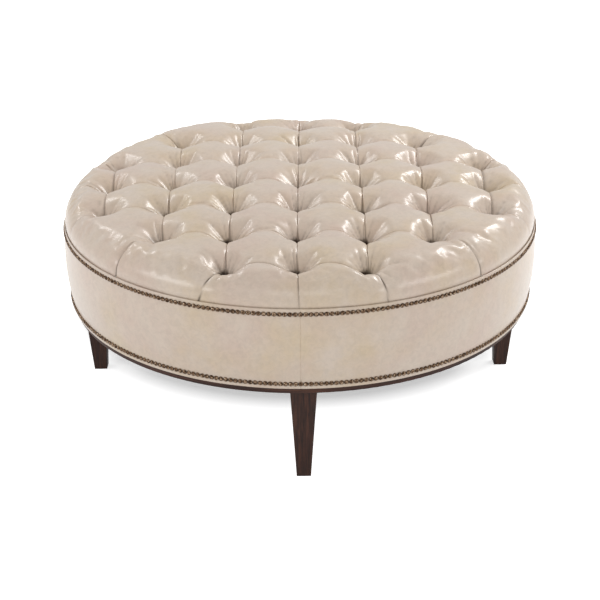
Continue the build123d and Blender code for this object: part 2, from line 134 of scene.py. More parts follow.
def makeLeather():
    material, tree, shader, place = newMaterial("platedLeather", IOR=1.5,
                                                Coat_Roughness=leather["coatRoughness"])
    pattern = {name: addNode(tree, "ShaderNodeTexNoise",
                             {"Vector": place, "Scale": 1 / (size * mm), **look}).outputs["Fac"]
               for name, (size, look) in leather["patterns"].items()}
    share = {name: addNode(tree, "ShaderNodeValToRGB", {"Fac": pattern[name]}, stops).outputs["Color"]
             for name, stops in leather["stops"].items()}
    tint = addNode(tree, "ShaderNodeMix", {0: share["cloud"], 6: toLinear(leather["rosy"]),
                                           7: toLinear(leather["warm"])}, data_type="RGBA")
    hide = addNode(tree, "ShaderNodeMix", {0: share["mottle"], 6: tint.outputs[2],
                                           7: toLinear(leather["pale"])}, data_type="RGBA")
    flecked = addNode(tree, "ShaderNodeMix", {0: 1.0, 6: hide.outputs[2], 7: share["fleck"]},
                      data_type="RGBA", blend_type="MULTIPLY")
    # painted shade, read from the cover and band meshes, mixes the colour towards the dark shade colour
    depth = addNode(tree, "ShaderNodeAttribute", attribute_name="paintedShade").outputs["Fac"]
    colour = addNode(tree, "ShaderNodeMix", {0: depth, 6: flecked.outputs[2],
                                             7: toLinear(leather["paintedShade"])}, data_type="RGBA")
    # painted shade in creases, pits, along the seam and under the nails: darker, and no shine there either
    for socket, clean in (("Specular IOR Level", leather["specular"]), ("Coat Weight", leather["coat"])):
        dull = addNode(tree, "ShaderNodeMapRange", {"Value": depth, "To Min": clean, "To Max": 0.0})
        plug(tree, shader, {socket: dull.outputs["Result"]})
    grain = addNode(tree, "ShaderNodeTexVoronoi", {"Vector": place, "Scale": 1 / (leather["grain"] * mm)},
                    feature="SMOOTH_F1")
    height = addNode(tree, "ShaderNodeMath", {0: grain.outputs["Distance"], 1: pattern["pore"]},
                     operation="ADD")
    wave = addNode(tree, "ShaderNodeBump", {"Height": pattern["mottle"],
                                            "Strength": leather["waveStrength"],
                                            "Distance": leather["waveHeight"] * mm})
    bump = addNode(tree, "ShaderNodeBump", {"Height": height.outputs[0],
                                            "Strength": leather["grainStrength"],
                                            "Distance": leather["grainHeight"] * mm,
                                            "Normal": wave.outputs["Normal"]})
    smooth, rough = leather["roughness"]
    gloss = addNode(tree, "ShaderNodeMapRange", {"Value": pattern["mottle"], "To Min": smooth,
                                                 "To Max": rough})
    plug(tree, shader, {"Base Color": colour.outputs[2], "Normal": bump.outputs["Normal"],
                        "Roughness": gloss.outputs["Result"]})
    return material


# Espresso stained hardwood under satin lacquer: long dark grain with reddish brown between
stain = {
    "dark": "#1C100D", "mid": "#372018", "light": "#543427",
    "grainLength": 160, "grainWidth": 5, "ringRadius": 528, "poresPerGrain": 5.0, "grainHeight": 0.3,
    "grainStrength": 0.25, "roughness": (0.4, 0.56),
}


def makeStainedWood(name, upright):
    material, tree, shader, place = newMaterial(name, IOR=1.45, Specular_IOR_Level=0.3)
    along, across = 1 / (stain["grainLength"] * mm), 1 / (stain["grainWidth"] * mm)
    if upright:
        fibre = addNode(tree, "ShaderNodeMapping", {"Vector": place, "Scale": (across, across, along)})
    else:  # the plinth's grain runs round the ring
        split = addNode(tree, "ShaderNodeSeparateXYZ", {"Vector": place}).outputs
        bearing = addNode(tree, "ShaderNodeMath", {0: split["Y"], 1: split["X"]}, operation="ARCTAN2")
        reach = addNode(tree, "ShaderNodeVectorMath", {0: place}, operation="LENGTH")
        ways = {"X": (bearing.outputs[0], stain["ringRadius"] / stain["grainLength"]),
                "Y": (reach.outputs["Value"], across), "Z": (split["Z"], across)}
        fibre = addNode(tree, "ShaderNodeCombineXYZ", {
            axis: addNode(tree, "ShaderNodeMath", {0: value, 1: scale}, operation="MULTIPLY").outputs[0]
            for axis, (value, scale) in ways.items()})
    bands = addNode(tree, "ShaderNodeTexNoise", {"Vector": fibre.outputs[0], "Scale": 1.0, "Detail": 6,
                                                 "Roughness": 0.62, "Distortion": 0.6}).outputs["Fac"]
    pores = addNode(tree, "ShaderNodeTexNoise", {"Vector": fibre.outputs[0], "Detail": 2,
                                                 "Scale": stain["poresPerGrain"]}).outputs["Fac"]
    colour = addNode(tree, "ShaderNodeValToRGB", {"Fac": bands},
                     [(0.32, stain["dark"]), (0.5, stain["mid"]), (0.72, stain["light"])])
    height = addNode(tree, "ShaderNodeMath", {0: bands, 1: pores}, operation="ADD")
    bump = addNode(tree, "ShaderNodeBump", {"Height": height.outputs[0],
                                            "Strength": stain["grainStrength"],
                                            "Distance": stain["grainHeight"] * mm})
    smooth, rough = stain["roughness"]
    gloss = addNode(tree, "ShaderNodeMapRange", {"Value": pores, "To Min": smooth, "To Max": rough})
    plug(tree, shader, {"Base Color": colour.outputs["Color"], "Normal": bump.outputs["Normal"],
                        "Roughness": gloss.outputs["Result"]})
    return material


# Antique bronze: dark patina in the hollows and rubbed bright metal on the high spots
bronze = {"patina": "#35271D", "metal": "#7C624C", "rubbed": "#D0BFA8", "spot": 3.0, "spotHeight": 0.2,
          "spotStrength": 0.2, "roughness": (0.24, 0.5)}


def makeBronze():
    material, tree, shader, place = newMaterial("antiqueBronze", Metallic=0.95)
    wear = addNode(tree, "ShaderNodeTexNoise", {"Vector": place, "Scale": 1 / (bronze["spot"] * mm),
                                                "Detail": 4}).outputs["Fac"]
    colour = addNode(tree, "ShaderNodeValToRGB", {"Fac": wear},
                     [(0.4, bronze["patina"]), (0.56, bronze["metal"]), (0.76, bronze["rubbed"])])
    smooth, rough = bronze["roughness"]
    gloss = addNode(tree, "ShaderNodeMapRange", {"Value": wear, "To Min": rough, "To Max": smooth})
    bump = addNode(tree, "ShaderNodeBump", {"Height": wear, "Strength": bronze["spotStrength"],
                                            "Distance": bronze["spotHeight"] * mm})
    plug(tree, shader, {"Base Color": colour.outputs["Color"], "Normal": bump.outputs["Normal"],
                        "Roughness": gloss.outputs["Result"]})
    return material


# Finishes of the pieces in and under the drum: two tones, pattern size in mm and its stretch
insideFinishes = {
    # sliced birch: pale, with long soft streaks and thin layers at the edges
    "birchPly": {"light": "#D9BC93", "dark": "#B38F63", "size": 14, "roughness": 0.6,
                 "stretch": (1, 0.15, 6)},
    # planed pine: yellowish, with grain that runs up the posts
    "planedPine": {"light": "#D8B483", "dark": "#B58A57", "size": 9, "roughness": 0.6,
                   "stretch": (1, 1, 0.2)},
    # zinc plated steel: light grey and faintly cloudy
    "zincSteel": {"light": "#B9BBBE", "dark": "#8E9093", "size": 3, "roughness": 0.35, "metallic": 1.0},
    # open cell foam: dull cream with small pores
    "upholsteryFoam": {"light": "#E8DCB4", "dark": "#CDBE92", "size": 2, "roughness": 0.9},
    # loose polyester fibre: off-white and quite dull
    "polyesterBatting": {"light": "#F0EFEA", "dark": "#D8D6CE", "size": 6, "roughness": 0.95},
    # waxed twine: brown and rather dull
    "tuftingTwine": {"light": "#9C8A6A", "dark": "#5E4F38", "size": 1.5, "roughness": 0.8},
    # pressed fibre board: flat reddish brown
    "pressedFibre": {"light": "#6A4B33", "dark": "#4B3322", "size": 3, "roughness": 0.7},
    # moulded nylon: nearly black with a soft sheen
    "darkNylon": {"light": "#2A2724", "dark": "#191715", "size": 2, "roughness": 0.45},
    # woven cambric: black and dull
    "blackCambric": {"light": "#2B2B2C", "dark": "#151516", "size": 1.2, "roughness": 0.9},
}


def makeInside(name, light, dark, size, roughness, metallic=0.0, stretch=(1, 1, 1), relief=0.3,
               strength=0.3):
    material, tree, shader, place = newMaterial(name, Metallic=metallic, Roughness=roughness)
    scaled = addNode(tree, "ShaderNodeMapping", {"Vector": place, "Scale": stretch})
    pattern = addNode(tree, "ShaderNodeTexNoise", {"Vector": scaled.outputs[0], "Scale": 1 / (size * mm),
                                                   "Detail": 5}).outputs["Fac"]
    colour = addNode(tree, "ShaderNodeValToRGB", {"Fac": pattern}, [(0.3, dark), (0.7, light)])
    bump = addNode(tree, "ShaderNodeBump", {"Height": pattern, "Strength": strength,
                                            "Distance": relief * mm})
    plug(tree, shader, {"Base Color": colour.outputs["Color"], "Normal": bump.outputs["Normal"]})
    return material


leatherFinish = makeLeather()
woodUpright = makeStainedWood("stainedWoodUpright", True)
woodRing = makeStainedWood("stainedWoodRing", False)
bronzeFinish = makeBronze()
inside = {name: makeInside(name, **look) for name, look in insideFinishes.items()}
report("finishes are ready")


# The cover: a crowned cushion whose flat pattern has pleats between tufts and out to the rim. Sizes
# are in mm and bearings in degrees.
cover = {
    # tuft grid: rows run across, and each reaches so many columns to either side
    "pitch": 141.9, "rowPitch": 145.8, "shift": -2.8, "shiftBack": -9.0, "turn": -0.4,
    "reaches": {-3: 1, -2: 2, -1: 3, 0: 3, 1: 3, 2: 2, 3: 1}, "halfGrid": 3, "cornerCut": 4,
    "corners": [(-1, -3), (1, -3), (3, -1), (3, 1), (1, 3), (-1, 3), (-3, 1), (-3, -1)],
    # outline: a shallow dome, an arc that rolls over to the edge, and a short skirt behind the band
    "crownTop": 485.4, "domeRadius": 6500.0, "rollStart": 479.4, "edge": 531.2, "edgeHeight": 407.4,
    "tuck": 16.0, "skirtIn": 1.2, "skirtFrom": 2.0, "skirtOver": 3.0, "undersideShare": 0.985,
    "edgeHold": 4.0, "edgeHoldOver": 10.0,
    # mesh steps in a cell and out to the rim, and how much they crowd towards the pleats
    "steps": 30, "rimSteps": 22, "crowding": 0.6,
    # puffs: how far they rise over each kind of pleat, and how far from it they level out
    "puffReach": 71.0, "columnPuff": 8.0, "rowPuff": 11.0, "rimPuff": 8.0, "rimPuffShare": 0.4,
    "rimReach": 26.0, "puffRise": 2.4, "puffRound": 0.75,
    "arch": 31.0, "archReach": 31.0, "archPower": 1.8,
    # the rim changes from cushion to roll between these radii
    "rimFrom": 425.0, "rimOver": 120.0,
    # creases: depth, width and how dark their painted shade is; the long ones run from front to back
    "columnCrease": 3.5, "rowCrease": 1.5, "creaseWidth": 1.3, "creasePower": 1.2, "creaseShade": 1.1,
    "creaseTaper": 20.0, "creaseLeast": 0.4, "longShade": 0.9, "crossShade": 0.6,
    "tuckUnder": 2.2, "tuckReach": 10.0,
    # rim pleats: bearing where they leave the cushion, and how sharp they are; others follow the rule
    "rimPleats": {(-2, -2): (-135.6, 1), (-1, -3): (-114.1, 1), (0, -3): (-90.2, 1), (1, -3): (-69.9, 1),
                  (2, -2): (-45.6, 1), (3, 1): (24, 0.8)},
    "faintPleat": 0.3, "pleatTurn": 3.0, "pleatPast": 60.0, "pleatFade": 2.5, "pleatShallower": 0.4,
    # the photo's cushion stands a little prouder here and lower there: bearing and height
    "rimLift": {126: 6.0, 86: -5.0}, "liftWide": 14.0, "liftFrom": 300.0, "liftOver": 120.0,
    # the pit's mouth and the painted shade in it, the floor that no point goes below, and the painted shade
    # along the seam at the edge
    "near": 120.0, "mouth": 6.0, "mouthWide": 13.0, "mouthDeep": 4.5, "mouthBack": 2.0, "mouthPower": 2.2,
    "mouthShade": 1.05, "mouthShadePower": 4, "floor": 45.2, "floorSoft": 6.0,
    "seamShade": 0.2, "seamOver": 2.0,
    # a wedge of painted shade on each pit's back wall, more of it left of the pleat
    "wedge": {"wide": 18.0, "high": 16.0, "foot": 5.0, "front": 6.0, "soft": 3.0, "rightShare": 0.5,
              "shade": 1.25},
    # folds gather between the pleats: so many in each quarter from the right round; their valleys get
    # painted shade
    "folds": {"seed": 7, "counts": (4, 5, 2, 1), "depth": 5.5, "width": 2.0, "reach": 30.0, "shade": 0.55,
              "turnSpread": 0.3, "curl": 0.004, "reachSpread": (0.6, 1.35), "depthSpread": (0.45, 1.15),
              "widening": 0.05, "start": 4.0, "startOver": 8.0, "fadeFrom": 9.0, "fadePower": 1.6,
              "bankShare": 0.5, "bankWide": 3.0},
    # cloth: the leather is cut a little larger than the shape, held at the pits and at the rim
    "cloth": {"frames": 9, "quality": 6, "mass": 0.3, "pressure": 5.0, "spare": 0.06, "stiff": 15.0,
              "bend": 0.3, "cap": 8.0, "pin": 7.0, "edge": 34.0, "edgeHeld": 8.0, "levels": 10},
}


def rollOver():
    # the arc that takes the dome down to the edge: slope where it starts, radius, middle and lengths
    slope = math.asin(cover["rollStart"] / cover["domeRadius"])
    shoulder = cover["crownTop"] - cover["domeRadius"] * (1 - math.cos(slope))
    run, fall = cover["edge"] - cover["rollStart"], shoulder - cover["edgeHeight"]
    half = math.atan2(fall, run) - slope
    radius = math.hypot(run, fall) / (2 * math.sin(half))
    domeLength = cover["domeRadius"] * slope
    return {"slope": slope, "radius": radius, "domeLength": domeLength,
            "end": domeLength + 2 * half * radius,
            "middleR": cover["rollStart"] - radius * math.sin(slope),
            "middleZ": shoulder - radius * math.cos(slope)}


def rimProfile(s):
    # distance along the outline from the crown -> radius, height, sine and cosine of the slope
    roll = rollOver()
    onDome = s < roll["domeLength"]
    pastDome = np.minimum(s, roll["end"]) - roll["domeLength"]
    angle = np.where(onDome, s / cover["domeRadius"], roll["slope"] + pastDome / roll["radius"])
    sine, cosine = np.sin(angle), np.cos(angle)
    domeZ = cover["crownTop"] - cover["domeRadius"] * (1 - cosine)
    r = np.where(onDome, cover["domeRadius"] * sine, roll["middleR"] + roll["radius"] * sine)
    z = np.where(onDome, domeZ, roll["middleZ"] + roll["radius"] * cosine)
    return r, z - np.maximum(s - roll["end"], 0), sine, cosine


def tuftPlace(column, row):
    turn = math.radians(cover["turn"])
    a, b = column * cover["pitch"], row * cover["rowPitch"]
    return np.array([cover["shift"] + a * math.cos(turn) - b * math.sin(turn),
                     cover["shiftBack"] + a * math.sin(turn) + b * math.cos(turn)])


def rimBearing(column, row):
    if (column, row) in cover["rimPleats"]:
        return math.radians(cover["rimPleats"][column, row][0])
    bearing = math.atan2(row, column)
    return bearing + math.radians(cover["pleatTurn"]) * math.sin(4 * bearing)


def crowd(share):
    # crowds mesh lines towards both ends of a cell, where the pleats are
    return share - cover["crowding"] * math.sin(2 * math.pi * share) / (2 * math.pi)


def segmentDistance(points, start, end):
    along = end - start
    length = np.linalg.norm(along)
    unit = along / length
    offset = points - start
    run = np.clip(offset @ unit, 0, length)
    near = start + run[:, None] * unit
    side = (points - near) @ np.array([-unit[1], unit[0]])
    return np.linalg.norm(points - near, axis=1), side, run / length


def coverPattern():
    # flat pattern: square mesh inside the outer tufts, then rays out to the rim along the rim pleats
    n = cover["steps"]
    span = cover["halfGrid"] * n
    places, flat, faces = {}, [], []

    def line(index):
        whole, part = divmod(index + span, n)
        return whole - cover["halfGrid"] + crowd(part / n)

    for i in range(-span, span + 1):
        for j in range(-span, span + 1):
            if abs(i) + abs(j) <= cover["cornerCut"] * n:
                places[i, j] = len(flat)
                flat.append(tuftPlace(line(i), line(j)))
    for i in range(-span, span):
        for j in range(-span, span):
            square = ((i, j), (i + 1, j), (i + 1, j + 1), (i, j + 1))
            face = [places[k] for k in square if k in places]
            if len(face) > 2:
                faces.append(face)
    loop, turns, outer = [], [], []
    for (columnA, rowA), (columnC, rowC) in around(cover["corners"]):
        columnB, rowB = (columnA + columnC) // 2, (rowA + rowC) // 2
        for start, end in (((columnA, rowA), (columnB, rowB)), ((columnB, rowB), (columnC, rowC))):
            outer.append(start)
            turnStart, turnEnd = rimBearing(*start), rimBearing(*end)
            if turnEnd < turnStart:
                turnEnd += 2 * math.pi
            for m in range(n):
                loop.append(places[start[0] * n + (end[0] - start[0]) * m,
                                   start[1] * n + (end[1] - start[1]) * m])
                turns.append(turnStart + (turnEnd - turnStart) * crowd(m / n))
    reach = rollOver()["end"] + cover["tuck"]
    previous = loop
    for step in range(1, cover["rimSteps"] + 1):
        share = step / cover["rimSteps"]
        ring = []
        for start, turn in zip(loop, turns):
            rim = np.array([math.cos(turn), math.sin(turn)]) * reach
            ring.append(len(flat))
            flat.append(flat[start] + (rim - flat[start]) * share)
        faces += [[a, b, c, d] for (a, d), (b, c) in zip(around(previous), around(ring))]
        previous = ring
    return np.array(flat), faces, outer, previous, reach


def fullness(distance, reach):
    share = np.clip(distance / reach, 0, 1)
    return (1 - (1 - share) ** cover["puffRise"]) ** cover["puffRound"]


def darken(surface, where, shade):
    # painted shade: keeps the darker of what is there and the new amount
    surface["paintedShade"][where] = np.maximum(surface["paintedShade"][where], shade)


def layPleat(surface, flat, start, end, long):
    # a pleat between two tufts: the long ones are deep near the pits, and those across are soft; painted
    # shade darkens its line
    away, side, run = segmentDistance(flat, start, end)
    middle = np.sin(np.pi * run)
    taper = np.exp(-np.minimum(run, 1 - run) * cover["pitch"] / cover["creaseTaper"])
    atPit = cover["creaseLeast"] + (1 - cover["creaseLeast"]) * taper
    puff = cover["columnPuff"] if long else cover["rowPuff"]
    surface["full"] *= 1 - (1 - fullness(away, cover["puffReach"])) * puff / cover["rowPuff"]
    groove = np.exp(-(away / cover["creaseWidth"]) ** cover["creasePower"])
    shade = np.exp(-(away / cover["creaseShade"]) ** 2)
    surface["drop"] += (cover["columnCrease"] * atPit if long else cover["rowCrease"]) * groove
    if long:  # one side is tucked under the other
        tucked = np.exp(-away / cover["tuckReach"]) * (side > 0)
        surface["drop"] += cover["tuckUnder"] * tucked * middle ** 0.5
    dark = cover["longShade"] * atPit if long else cover["crossShade"] * middle
    darken(surface, slice(None), shade * dark)


def layRimPleat(surface, flat, tuft, start, reach, outward):
    # a pleat from an outer tuft over the rim, which gets shallower as it goes down, with painted shade along
    # it
    bearing = rimBearing(*tuft)
    sharp = cover["rimPleats"].get(tuft, (0, cover["faintPleat"]))[1]
    end = np.array([math.cos(bearing), math.sin(bearing)]) * (reach + cover["pleatPast"])
    away = segmentDistance(flat, start, end)[0]
    width = cover["puffReach"] + (cover["rimReach"] - cover["puffReach"]) * outward
    share = (1 + (cover["rimPuffShare"] - 1) * outward) * cover["rimPuff"] / cover["rowPuff"]
    share = share * (sharp + (1 - sharp) * (1 - outward))
    surface["full"] *= 1 - (1 - fullness(away, width)) * share
    groove = np.exp(-(away / cover["creaseWidth"]) ** cover["creasePower"])
    fade = sharp + (1 - sharp) * np.clip(1 - outward * cover["pleatFade"], 0, 1)
    shallower = 1 - cover["pleatShallower"] * outward
    surface["drop"] += cover["columnCrease"] * groove * shallower * fade
    shade = np.exp(-(away / cover["creaseShade"]) ** 2)
    darken(surface, slice(None), shade * fade * cover["longShade"])


def sinkPit(surface, near, x, y, distance):
    # the cover is drawn down round a tuft and dips once more in the pit's oval mouth; the mouth and a wedge
    # on the pit's back wall get painted shade
    wedge = cover["wedge"]
    surface["arch"][near] *= 1 - np.exp(-(distance / cover["archReach"]) ** cover["archPower"])
    oval = np.hypot(x / cover["mouthWide"], (y - cover["mouthBack"]) / cover["mouthDeep"])
    surface["drop"][near] += cover["mouth"] * np.exp(-oval ** cover["mouthPower"])
    darken(surface, near, np.exp(-(oval * cover["mouthShade"]) ** cover["mouthShadePower"]))
    rise = np.clip((y - wedge["foot"]) / wedge["high"], 0, 1)
    left, right = wedge["wide"] * (1 - rise), wedge["wide"] * wedge["rightShare"] * (1 - rise)
    shade = np.clip((x + left) / wedge["soft"] + 0.5, 0, 1)
    shade *= np.clip((right - x) / wedge["soft"] + 0.5, 0, 1)
    shade *= np.clip((y + wedge["front"]) / wedge["soft"], 0, 1)
    darken(surface, near, np.minimum(1, wedge["shade"] * shade * (1 - rise) ** 0.5))


def gatherFolds(surface, near, offset, rng):
    # folds round a pit: ripples in the surface, with painted shade along their valleys
    folds = cover["folds"]
    waves, shade = np.zeros(len(offset)), np.zeros(len(offset))
    for quarter, count in enumerate(folds["counts"]):
        for fold in range(count):
            stray = rng.uniform(-folds["turnSpread"], folds["turnSpread"])
            turn = math.pi / 2 * (quarter + (fold + 0.5 + stray) / count)
            direction = np.array([math.cos(turn), math.sin(turn)])
            ahead = offset @ direction
            aside = offset @ np.array([-direction[1], direction[0]])
            aside = aside + rng.uniform(-folds["curl"], folds["curl"]) * ahead ** 2
            length = folds["reach"] * rng.uniform(*folds["reachSpread"])
            depth = folds["depth"] * rng.uniform(*folds["depthSpread"])
            spread = folds["width"] + np.maximum(ahead, 0) * folds["widening"]
            fade = np.exp(-(np.maximum(ahead - folds["fadeFrom"], 0) / length) ** folds["fadePower"])
            along = np.clip((ahead - folds["start"]) / folds["startOver"], 0, 1) * fade
            valley = np.exp(-np.abs(aside) / spread)
            banks = folds["bankShare"] * np.exp(-(aside / (folds["bankWide"] * spread)) ** 2)
            waves += depth * along * (valley - banks)
            shade = np.maximum(shade, along * np.exp(-(aside / cover["creaseShade"]) ** 2))
    surface["ripple"][near] += waves
    darken(surface, near, folds["shade"] * shade)


def coverHeights(flat, outer, reach):
    # how far each point of the pattern lies under the crowned outline, and how much painted shade it gets
    rng = random.Random(cover["folds"]["seed"])
    tufts = {(column, row): tuftPlace(column, row)
             for row, last in cover["reaches"].items() for column in range(-last, last + 1)}
    radius = np.linalg.norm(flat, axis=1)
    surface = {name: np.ones(len(flat)) for name in ("full", "arch")}
    surface.update({name: np.zeros(len(flat)) for name in ("drop", "ripple", "paintedShade")})
    for (column, row), start in tufts.items():
        for neighbour in ((column + 1, row), (column, row + 1)):
            if neighbour in tufts:
                layPleat(surface, flat, start, tufts[neighbour], neighbour[1] > row)
    outward = np.clip((radius - cover["rimFrom"]) / cover["rimOver"], 0, 1)
    for tuft in outer:
        layRimPleat(surface, flat, tuft, tufts[tuft], reach, outward)
    for place in tufts.values():
        offset = flat - place
        distance = np.linalg.norm(offset, axis=1)
        near = distance < cover["near"]
        sinkPit(surface, near, offset[near, 0], offset[near, 1], distance[near])
        gatherFolds(surface, near, offset[near], rng)
    puffed, arched = cover["rowPuff"] * (1 - surface["full"]), cover["arch"] * (1 - surface["arch"])
    drop = surface["drop"] + (puffed + arched + surface["ripple"])
    bearings = np.degrees(np.arctan2(flat[:, 1], flat[:, 0]))
    for bearing, lift in cover["rimLift"].items():
        wide = np.exp(-((bearings - bearing) / cover["liftWide"]) ** 2)
        drop -= lift * wide * np.clip((radius - cover["liftFrom"]) / cover["liftOver"], 0, 1)
    floor, soft = cover["floor"], cover["floorSoft"]
    drop = np.where(drop > floor - soft, floor - soft * np.exp(-(drop - floor + soft) / soft), drop)
    return drop, surface["paintedShade"]


def coverMesh():
    flat, faces, outer, rim, reach = coverPattern()
    drop, paintedShade = coverHeights(flat, outer, reach)
    s = np.linalg.norm(flat, axis=1)
    unit = flat / np.maximum(s, 1e-6)[:, None]
    r, z, sine, cosine = rimProfile(s)
    rollEnd = rollOver()["end"]
    # the edge is held flat by the band
    hold = np.clip((rollEnd + cover["edgeHold"] - s) / cover["edgeHoldOver"], 0, 1)
    skirt = np.clip((s - rollEnd + cover["skirtFrom"]) / cover["skirtOver"], 0, 1)
    drop = drop * hold + cover["skirtIn"] * skirt
    r = r - drop * sine
    z = z - drop * cosine
    points = np.column_stack([unit * r[:, None], z]) * mm
    # the closed underside lies flat on the hoop, in strips from side to side
    under = list(range(len(points), len(points) + len(rim)))
    share = cover["undersideShare"]
    points = np.vstack([points, points[rim] * (share, share, 1)])
    faces += [[a, c, d, b] for (a, b), (c, d) in zip(around(rim), around(under))]
    for k in range(len(rim) // 2):
        faces.append(list(dict.fromkeys([under[-k], under[-1 - k], under[k + 1], under[k]])))
    # painted shade along the seam where the cover meets the band
    seam = np.clip((s - rollEnd) / cover["seamOver"], 0, 1)
    paintedShade = np.concatenate([np.maximum(paintedShade, seam * cover["seamShade"]), np.zeros(len(rim))])
    return points, faces, paintedShade


def heldShare(start):
    # 1 where the leather can't move and 0 where it is free, from each point's place
    cloth = cover["cloth"]
    radius = np.hypot(start[:, 0], start[:, 1]) / mm
    held = np.clip((radius - cover["edge"] + cloth["edge"]) / (cloth["edge"] - cloth["edgeHeld"]), 0, 1)
    held[start[:, 2] < (cover["edgeHeight"] - 1) * mm] = 1
    for row, last in cover["reaches"].items():
        for column in range(-last, last + 1):
            place = tuftPlace(column, row) * mm
            held[np.hypot(start[:, 0] - place[0], start[:, 1] - place[1]) < cloth["pin"] * mm] = 1
    return held


def settleCover(piece):
    cloth = cover["cloth"]
    mesh = piece.data
    start = np.empty(len(mesh.vertices) * 3)
    mesh.vertices.foreach_get("co", start)
    start = start.reshape(-1, 3)
    group = piece.vertex_groups.new(name="held")
    levels = np.round(heldShare(start) * cloth["levels"]).astype(int)
    for level in range(1, cloth["levels"] + 1):
        held = [int(k) for k in np.flatnonzero(levels == level)]
        group.add(held, level / cloth["levels"], "REPLACE")
    modifier = piece.modifiers.new("cloth", "CLOTH")
    modifier.point_cache.frame_start = 1
    modifier.point_cache.frame_end = cloth["frames"]
    modifier.collision_settings.use_collision = False
    settings = modifier.settings
    settings.quality = cloth["quality"]
    settings.mass = cloth["mass"]
    settings.tension_stiffness = settings.compression_stiffness = settings.shear_stiffness = cloth["stiff"]
    settings.bending_stiffness = cloth["bend"]
    settings.use_pressure = True
    settings.uniform_pressure_force = cloth["pressure"]
    settings.shrink_min = -cloth["spare"]
    settings.vertex_group_mass = "held"
    settings.effector_weights.gravity = 0
    scene = bpy.context.scene
    for step in range(1, cloth["frames"] + 1):
        scene.frame_set(step)
    settled = piece.evaluated_get(bpy.context.evaluated_depsgraph_get())
    after = np.empty(len(mesh.vertices) * 3)
    settled.data.vertices.foreach_get("co", after)
    move = after.reshape(-1, 3) - start
    size = np.linalg.norm(move, axis=1)
    report(f"cloth moved the cover by {np.mean(size) / mm:.1f} mm, at most {np.max(size) / mm:.1f} mm")
    move *= np.minimum(1, cloth["cap"] * mm / np.maximum(size, 1e-9))[:, None]
    piece.modifiers.remove(modifier)
    piece.vertex_groups.remove(group)
    scene.frame_set(1)
    mesh.vertices.foreach_set("co", (start + move).ravel())
    mesh.update()


def refine(piece):
    smoother = piece.modifiers.new("smooth", "SUBSURF")
    smoother.levels = smoother.render_levels = 1
    evaluated = piece.evaluated_get(bpy.context.evaluated_depsgraph_get())
    finer = bpy.data.meshes.new_from_object(evaluated, preserve_all_data_layers=True,
                                            depsgraph=bpy.context.evaluated_depsgraph_get())
    piece.modifiers.remove(smoother)
    piece.data = finer
    report(f"cover has {len(finer.vertices)} points")


points, faces, paintedShade = coverMesh()
tuftedCover = meshObject("tuftedLeatherCover", points, faces, leatherFinish)
settleCover(tuftedCover)
layer = tuftedCover.data.attributes.new("paintedShade", "FLOAT", "POINT")
layer.data.foreach_set("value", np.clip(paintedShade, 0, 1).astype(np.float32))
refine(tuftedCover)
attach(tuftedCover, "root")
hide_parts("tufted_cover")


# The side band: smooth leather with folded hems, in two halves sewn at the front and the back
band = {
    "radius": 533.4, "footRadius": 529.2, "belly": 6.0, "bottom": 228.0, "top": 405.4, "thickness": 2.0,
    "standOff": 0.1, "bellySteps": 18,
    # hems: height, how proud they stand, where they start to thin out, and the mesh lines up them
    "hem": 16.0, "hemSwell": 0.5, "hemThins": 0.75, "round": 1.3,
    "hemShares": (0.25, 0.4, 0.5, 0.6, 0.69, 0.78, 0.9, 1.0),
    # how far the folded edges round over: inwards, on the inner side, and up or down
    "corner": 0.4, "innerCorner": 0.8, "footRise": (0.05, 0.1), "browFall": 0.3,
    # the sewn seams sink in, with mesh lines close beside them
    "seamRound": 2.5, "seamDepth": 0.9, "seamLines": (0.4, 1.0, 1.8, 2.8, 4.0), "seamClear": 0.5,
    # each nail dimples the leather, and painted shade darkens the leather under and between the heads
    "nails": 328, "stepsPerNail": 4, "nailRows": (239.0, 394.4), "dimple": 0.35, "dimpleWide": 5.0,
    "nailShade": 0.75, "nailShadeWide": 3.4,
}


def hemPoint(share):
    # how far a hem's face stands proud and how far it is from the band's edge
    thinned = max(0, share - band["hemThins"]) / (1 - band["hemThins"])
    return band["hemSwell"] * (1 - thinned), band["hem"] * share


def bellyPoint(share):
    # the swelling face between the hems
    foot, rise = band["footRadius"], band["top"] - band["bottom"] - 2 * band["hem"]
    return (foot + (band["radius"] - foot) * share + band["belly"] * 4 * share * (1 - share),
            band["bottom"] + band["hem"] + rise * share)


def bandProfile():
    low, high = band["bottom"], band["top"]
    foot, brow = band["footRadius"], band["radius"]
    thickness, standOff, swell = band["thickness"], band["standOff"], band["hemSwell"]
    corner, innerCorner, edge = band["corner"], band["innerCorner"], band["round"]
    shares = [step / band["bellySteps"] for step in range(1, band["bellySteps"])]
    innerRise, outerRise = band["footRise"]
    points = [(foot - thickness + standOff, low + corner), (foot - thickness + innerCorner, low + innerRise),
              (foot + swell - corner, low + outerRise), (foot + swell, low + edge)]
    points += [(foot + proud, low + up) for proud, up in map(hemPoint, band["hemShares"])]
    points += [bellyPoint(share) for share in shares]
    points += [(brow + proud, high - down) for proud, down in map(hemPoint, band["hemShares"][::-1])]
    points += [(brow + swell, high - edge), (brow + swell - corner, high - band["browFall"]),
               (brow - thickness + innerCorner, high), (brow - thickness + standOff, high - corner)]
    # the inner face follows the padding, so the back isn't cut straight across
    points += [(r - thickness + standOff, z) for r, z in map(bellyPoint, shares[::-1])]
    return points


